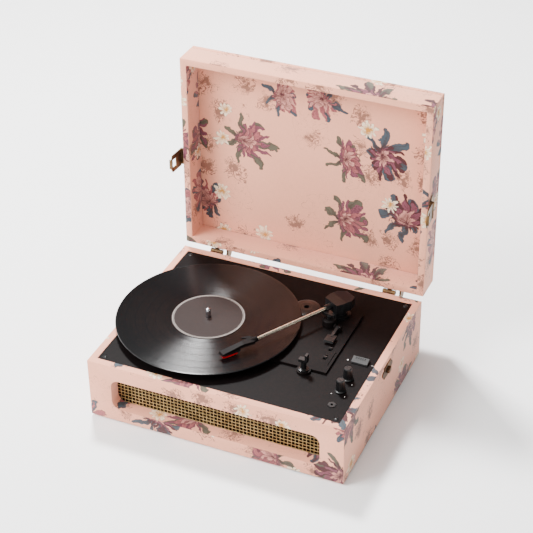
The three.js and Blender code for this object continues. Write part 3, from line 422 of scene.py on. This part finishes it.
def soften(piece, width, segments=2):
    """Rounds the crisp edges and shades the rest smooth."""
    bevel = piece.modifiers.new("edges", "BEVEL")
    bevel.width = width
    bevel.segments = segments
    bevel.limit_method = "ANGLE"
    bevel.angle_limit = math.radians(40)
    shade(piece)


def baked(piece):
    """The piece's mesh with its modifiers applied."""
    graph = bpy.context.evaluated_depsgraph_get()
    return bpy.data.meshes.new_from_object(piece.evaluated_get(graph))


def circle(radius, sides):
    """(x, y) pairs once round the origin."""
    return [(radius * math.cos(TAU * i / sides), radius * math.sin(TAU * i / sides)) for i in range(sides)]


def join_rings(work, low, high):
    """Faces between two rings of as many points."""
    for i in range(len(low)):
        k = (i + 1) % len(low)
        work.faces.new((low[i], low[k], high[k], high[i]))


def lathe(name, profile, centre, sides, material, body):
    """Turned piece with a bore, from (radius, z) pairs about an upright axis through centre."""
    work = bmesh.new()
    rings = []
    for radius, z in profile:
        around = circle(radius, sides)
        rings.append([work.verts.new((centre[0] + x, centre[1] + y, z)) for x, y in around])
    for low, high in zip(rings, rings[1:]):
        join_rings(work, low, high)
    piece = make(name, mesh_of(work, name), material, body)
    shade(piece)
    return piece


def slab(name, outline, depth, material, body):
    """A flat shape given by its corners, thickened along the depth vector."""
    work = bmesh.new()
    face = work.faces.new([work.verts.new(corner) for corner in outline])
    grown = bmesh.ops.extrude_face_region(work, geom=[face])
    far = [v for v in grown["geom"] if isinstance(v, bmesh.types.BMVert)]
    bmesh.ops.translate(work, vec=depth, verts=far)
    return make(name, mesh_of(work, name), material, body)


# ------------------------------------------------------------------ case and lid
CLOTH_EDGE = 1.3 * MM
SIDE_SHIFT = 0.613  # metres of cloth between the sides that face along X, Y and Z
FACING_SHIFT = 0.271  # and between the two sides that face opposite ways


def united(names):
    """One mesh from several CAD boards, without their inner butt faces."""
    first = bpy.data.objects.new("union", NODES[names[0]].data.copy())
    bpy.context.scene.collection.objects.link(first)
    for name in names[1:]:
        union = first.modifiers.new(name, "BOOLEAN")
        union.operation = "UNION"
        union.solver = "EXACT"
        union.object = NODES[name]
    mesh = baked(first)
    bpy.data.objects.remove(first)
    work = bmesh.new()
    work.from_mesh(mesh)
    bmesh.ops.remove_doubles(work, verts=work.verts, dist=0.02 * MM)
    bmesh.ops.dissolve_limit(work, angle_limit=math.radians(1), verts=work.verts, edges=work.edges)
    work.to_mesh(mesh)
    work.free()
    return mesh


def lay_cloth(mesh, shift):
    """Box-projects UVs in metres, each side of the case cut from another place in the cloth."""
    layer = mesh.uv_layers.new(name="cloth")
    for face in mesh.polygons:
        normal = face.normal
        axis = max(range(3), key=lambda i: abs(normal[i]))
        u, v = ((1, 2), (0, 2), (0, 1))[axis]
        start = shift + axis * SIDE_SHIFT + (FACING_SHIFT if normal[axis] > 0 else 0)
        for loop in face.loop_indices:
            point = mesh.vertices[mesh.loops[loop].vertex_index].co
            layer.data[loop].uv = (point[u] + start, point[v] + start * 0.5)


def wrapped(name, boards, body, shift):
    """Boards covered by one cloth, with its folded edges rounded."""
    shell = make(name, united(boards), CLOTH, body)
    soften(shell, CLOTH_EDGE, 3)
    mesh = baked(shell)
    shell.modifiers.clear()
    old, shell.data = shell.data, mesh
    bpy.data.meshes.remove(old)
    lay_cloth(mesh, shift)
    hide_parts(*boards)


wrapped("base_cloth_wrap", [f"base_{side}_board" for side in ("front", "back", "left", "right")],
        body="base", shift=0.0)
wrapped("lid_cloth_wrap", ["lid_frame", "lid_panel"], body="lid", shift=3.137)


# ------------------------------------------------------------------ disc
LABEL_RADIUS = 50 * MM
DISC_BORE = 3.9 * MM


def build_disc():
    """The disc with a raised rim and a sunken middle, and the paper label bedded in it."""
    low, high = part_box("vinyl_record")
    centre = (low + high) / 2
    radius = (high.x - low.x) / 2
    land = high.z - 0.3 * MM
    sunken = land - 0.2 * MM
    rim, corner_in, corner_down = 1.2 * MM, 0.3 * MM, 0.35 * MM
    profile = [
        (DISC_BORE, low.z),
        (radius - rim, low.z),
        (radius - corner_in, low.z + corner_down),
        (radius, (low.z + high.z) / 2),
        (radius - corner_in, high.z - corner_down),
        (radius - rim, high.z),
        (radius - 3 * MM, land),
        (LABEL_RADIUS + 7 * MM, land),
        (LABEL_RADIUS + 4 * MM, sunken),
        (DISC_BORE, sunken),
        (DISC_BORE, low.z),
    ]
    disc = lathe("disc", profile, centre, 256, vinyl(centre), "turntable")

    under, top, edge = land - 0.5 * MM, high.z - 0.05 * MM, 0.1 * MM
    paper = [
        (DISC_BORE, under),
        (LABEL_RADIUS, under),
        (LABEL_RADIUS, high.z - 0.15 * MM),
        (LABEL_RADIUS - edge, top),
        (DISC_BORE, top),
        (DISC_BORE, under),
    ]
    lathe("disc_label", paper, centre, 160, label_paper(centre), "turntable")
    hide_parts("vinyl_record")


build_disc()


# ------------------------------------------------------------------ grille
GRILLE_PITCH = 5.2 * MM
GRILLE_EDGE = 1.2 * MM
THREAD_RADIUS = 0.4 * MM
THREAD_LIFT = 0.35 * MM
THREAD_SIDES = 6


def weave_thread(work, start, end, phase):
    """A round thread that passes over and under the ones it crosses."""
    length = (end - start).length
    steps = max(8, int(length / GRILLE_PITCH) * 4)
    side = (end - start).normalized().cross(Vector((0, 1, 0)))
    rings = []
    for i in range(steps + 1):
        along = i / steps
        point = start.lerp(end, along)
        point.y += THREAD_LIFT * math.cos(math.pi * (length * along / GRILLE_PITCH + phase))
        ring = []
        for x, y in circle(1, THREAD_SIDES):
            ring.append(work.verts.new(point + THREAD_RADIUS * (side * x + Vector((0, y, 0)))))
        rings.append(ring)
    for a, b in zip(rings, rings[1:]):
        join_rings(work, a, b)
    work.faces.new(rings[0][::-1])
    work.faces.new(rings[-1])


def upright_outline(low, high, y, corner, steps=8):
    """A rounded rectangle that stands at y, between two corners."""
    left, right = low.x + corner, high.x - corner
    bottom, top = low.z + corner, high.z - corner
    outline = []
    for quarter, (x, z) in enumerate([(right, top), (left, top), (left, bottom), (right, bottom)]):
        for i in range(steps + 1):
            angle = (quarter + i / steps) * TAU / 4
            outline.append((x + corner * math.cos(angle), y, z + corner * math.sin(angle)))
    return outline


def build_grille():
    """Gold threads woven both ways over a dark cloth, in the rounded front opening."""
    low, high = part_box("speaker_grille")
    front = low.y + THREAD_RADIUS + THREAD_LIFT
    behind = front + THREAD_RADIUS + THREAD_LIFT
    columns = int((high.x - low.x - 2 * GRILLE_EDGE) / GRILLE_PITCH)
    rows = int((high.z - low.z - 2 * GRILLE_EDGE) / GRILLE_PITCH)
    inset = (high.x - low.x - columns * GRILLE_PITCH) / 2
    rise = (high.z - low.z - rows * GRILLE_PITCH) / 2
    left, right = low.x + GRILLE_EDGE, high.x - GRILLE_EDGE
    bottom, top = low.z + GRILLE_EDGE, high.z - GRILLE_EDGE
    work = bmesh.new()
    for i in range(columns + 1):
        x = low.x + inset + i * GRILLE_PITCH
        weave_thread(work, Vector((x, front, bottom)), Vector((x, front, top)), i % 2)
    for k in range(rows + 1):
        z = low.z + rise + k * GRILLE_PITCH
        weave_thread(work, Vector((left, front, z)), Vector((right, front, z)), (k + 1) % 2)
    threads = make("grille_threads", mesh_of(work, "grille_threads"), GOLD, "base")
    shade(threads)
    outline = upright_outline(low, high, behind, corner=6 * MM)
    backing = slab("grille_backing", outline, (0, high.y - behind, 0), BACKING, "base")
    soften(backing, 0.4 * MM)
    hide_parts("speaker_grille")


build_grille()


# ------------------------------------------------------------------ deck screws
SCREW_RADIUS = 3.1 * MM
SCREW_HEIGHT = 1.1 * MM
SCREW_INSET = 7 * MM
SCREW_RINGS = 8
SCREW_SIDES = 32
CROSS_HALF_WIDTH = 0.42 * MM
CROSS_DEPTH = 0.6 * MM
CROSS_REACH = 0.72 * SCREW_RADIUS


def screw_head(x, y, z):
    """A domed screw head with a cross recess, seated at z."""
    work = bmesh.new()
    rows = []
    for ring in range(SCREW_RINGS + 1):
        r = SCREW_RADIUS * (1 - ring / SCREW_RINGS)
        dome = z + SCREW_HEIGHT * math.sqrt(max(0.0, 1 - (r / SCREW_RADIUS) ** 2))
        row = []
        for dx, dy in circle(r, SCREW_SIDES):
            in_cross = min(abs(dx), abs(dy)) < CROSS_HALF_WIDTH and r < CROSS_REACH
            row.append(work.verts.new((x + dx, y + dy, dome - CROSS_DEPTH if in_cross else dome)))
        rows.append(row)
    for low, high in zip(rows, rows[1:]):
        join_rings(work, low, high)
    bmesh.ops.remove_doubles(work, verts=work.verts, dist=0.001 * MM)
    bmesh.ops.contextual_create(work, geom=[edge for edge in work.edges if edge.is_boundary])
    return work


def build_screws():
    """One screw near each corner of the deck."""
    low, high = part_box("deck_plate")
    places = [(x, y) for y in (low.y + SCREW_INSET, high.y - SCREW_INSET)
              for x in (low.x + SCREW_INSET, high.x - SCREW_INSET)]
    for index, (x, y) in enumerate(places):
        name = f"deck_screw_{index}"
        make(name, mesh_of(screw_head(x, y, high.z), name), GLOSS, "base")


build_screws()


# ------------------------------------------------------------------ printed marks
MARK_THICK = 0.06 * MM
MARK_CLEARANCE = 0.02 * MM  # above the deck, so that the faces don't coincide


def mark(name, outline, z):
    """A thin printed mark on the deck."""
    corners = [(x, y, z) for x, y in outline]
    return slab(name, corners, (0, 0, MARK_THICK), PRINT, "base")


def dot(name, x, y, z, radius):
    mark(name, [(x + dx, y + dy) for dx, dy in circle(radius, 20)], z)


def build_marks():
    """A dot and a line beside the source switch, clear of its travel, and two dots at each knob."""
    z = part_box("deck_plate")[1].z + MARK_CLEARANCE

    def middle(node):
        low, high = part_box(node)
        return (low + high) / 2

    source = middle("source_switch_knob")
    dot("source_dot", source.x - 17 * MM, source.y - 1.4 * MM, z, 1.0 * MM)
    x0, x1 = source.x + 15.5 * MM, source.x + 18.5 * MM
    y0 = source.y - 1.6 * MM
    y1 = y0 + 0.5 * MM
    mark("source_line", [(x0, y0), (x1, y0), (x1, y1), (x0, y1)], z)
    away = 9 * MM
    for node in ("volume_knob", "tone_knob"):
        knob = middle(node)
        dot(f"{node}_low_dot", knob.x - away, knob.y - away, z, 0.6 * MM)
        dot(f"{node}_high_dot", knob.x + away, knob.y - away, z, 0.6 * MM)


build_marks()


# ------------------------------------------------------------------ remaining CAD pieces
SLOT_OF = {row["node"]: row["material_slot"] for row in frame["record"]["subparts"]}
UNBEVELLED = {
    "arm_tube", "drive_belt", "main_circuit_board", "motor_pulley", "speaker_left", "speaker_right", "stylus",
}
OWN_FINISH = {"platter": CAST, "headshell": DECK, "arm_chassis": DECK, "source_switch_knob": RUBBER}


def dress_cad_pieces():
    """Gives every CAD piece that still shows its finish and its edges."""
    for node, piece in NODES.items():
        if piece.hide_render:
            continue
        piece.data.materials.clear()
        piece.data.materials.append(OWN_FINISH.get(node, BY_SLOT[SLOT_OF[node]]))
        if node in UNBEVELLED:
            shade(piece)
        else:
            soften(piece, 0.3 * MM)


dress_cad_pieces()


# ------------------------------------------------------------------ floor, room and lights
FLOOR_HALF = 4.0
DARK_SIDE = (0.6, 0.8, 0.0)  # direction in which the room is dim
ROOM_BRIGHT = 2.3
ROOM_DIM = 0.22


def build_floor():
    """Pale matte floor."""
    work = bmesh.new()
    signs = [(-1, -1), (1, -1), (1, 1), (-1, 1)]
    work.faces.new([work.verts.new((x * FLOOR_HALF, y * FLOOR_HALF, 0)) for x, y in signs])
    mesh = mesh_of(work, "floor", outward=False)
    floor = bpy.data.objects.new("floor", mesh)
    bpy.context.scene.collection.objects.link(floor)
    mesh.materials.append(finish("white_paper", (0.93, 0.93, 0.93, 1), (0.92, 0.92, 0.92, 1),
                                 roughness=0.9, spread=0.05, scale=40, bump=0.0))


def build_room():
    """A room that is bright at the front left and dim behind."""
    world = bpy.data.worlds.new("studio")
    world.use_nodes = True
    nodes, links = world.node_tree.nodes, world.node_tree.links
    background = nodes["Background"]
    background.inputs[0].default_value = (1.0, 0.99, 0.98, 1)
    toward = nodes.new("ShaderNodeVectorMath")
    toward.operation = "DOT_PRODUCT"
    toward.inputs[1].default_value = DARK_SIDE
    links.new(nodes.new("ShaderNodeTexCoord").outputs["Generated"], toward.inputs[0])
    fade = nodes.new("ShaderNodeMapRange")
    fade.interpolation_type = "SMOOTHSTEP"
    limits = {"From Min": -0.5, "From Max": 0.45, "To Min": ROOM_BRIGHT, "To Max": ROOM_DIM}
    for key, value in limits.items():
        fade.inputs[key].default_value = value
    links.new(toward.outputs["Value"], fade.inputs["Value"])
    links.new(fade.outputs[0], background.inputs[1])
    bpy.context.scene.world = world


def area_light(name, place, aim, size, power):
    """A square lamp that faces its aim."""
    data = bpy.data.lights.new(name, "AREA")
    data.size = size
    data.energy = power
    lamp = bpy.data.objects.new(name, data)
    bpy.context.scene.collection.objects.link(lamp)
    lamp.location = place
    lamp.rotation_euler = (Vector(aim) - Vector(place)).to_track_quat("-Z", "Y").to_euler()


# ------------------------------------------------------------------ camera
AZIMUTH = math.radians(24.04)
ELEVATION = math.radians(34.59)
ROLL = math.radians(-0.83)
DISTANCE = 2.043
TARGET = Vector((0.0153, -0.0262, 0.1992))
SENSOR_WIDTH = 36  # mm, as is the focal length
FOCAL_LENGTH = 106.6


def build_camera():
    """An ordinary perspective camera that looks down on the player from its front right."""
    away = Vector((math.sin(AZIMUTH) * math.cos(ELEVATION),
                   -math.cos(AZIMUTH) * math.cos(ELEVATION),
                   math.sin(ELEVATION)))
    data = bpy.data.cameras.new("camera")
    data.sensor_width = SENSOR_WIDTH
    data.lens = FOCAL_LENGTH
    camera = bpy.data.objects.new("camera", data)
    bpy.context.scene.collection.objects.link(camera)
    turn = (-away).to_track_quat("-Z", "Y").to_matrix().to_4x4()
    camera.matrix_world = Matrix.Translation(TARGET + away * DISTANCE) @ turn @ Matrix.Rotation(ROLL, 4, "Z")
    bpy.context.scene.camera = camera


build_floor()
build_room()
area_light("key", place=(-1.7, -1.5, 2.0), aim=(0, 0, 0.15), size=1.3, power=135)
area_light("overhead", place=(-0.75, 0.85, 2.0), aim=(0, 0, 0.1), size=0.32, power=130)
build_camera()
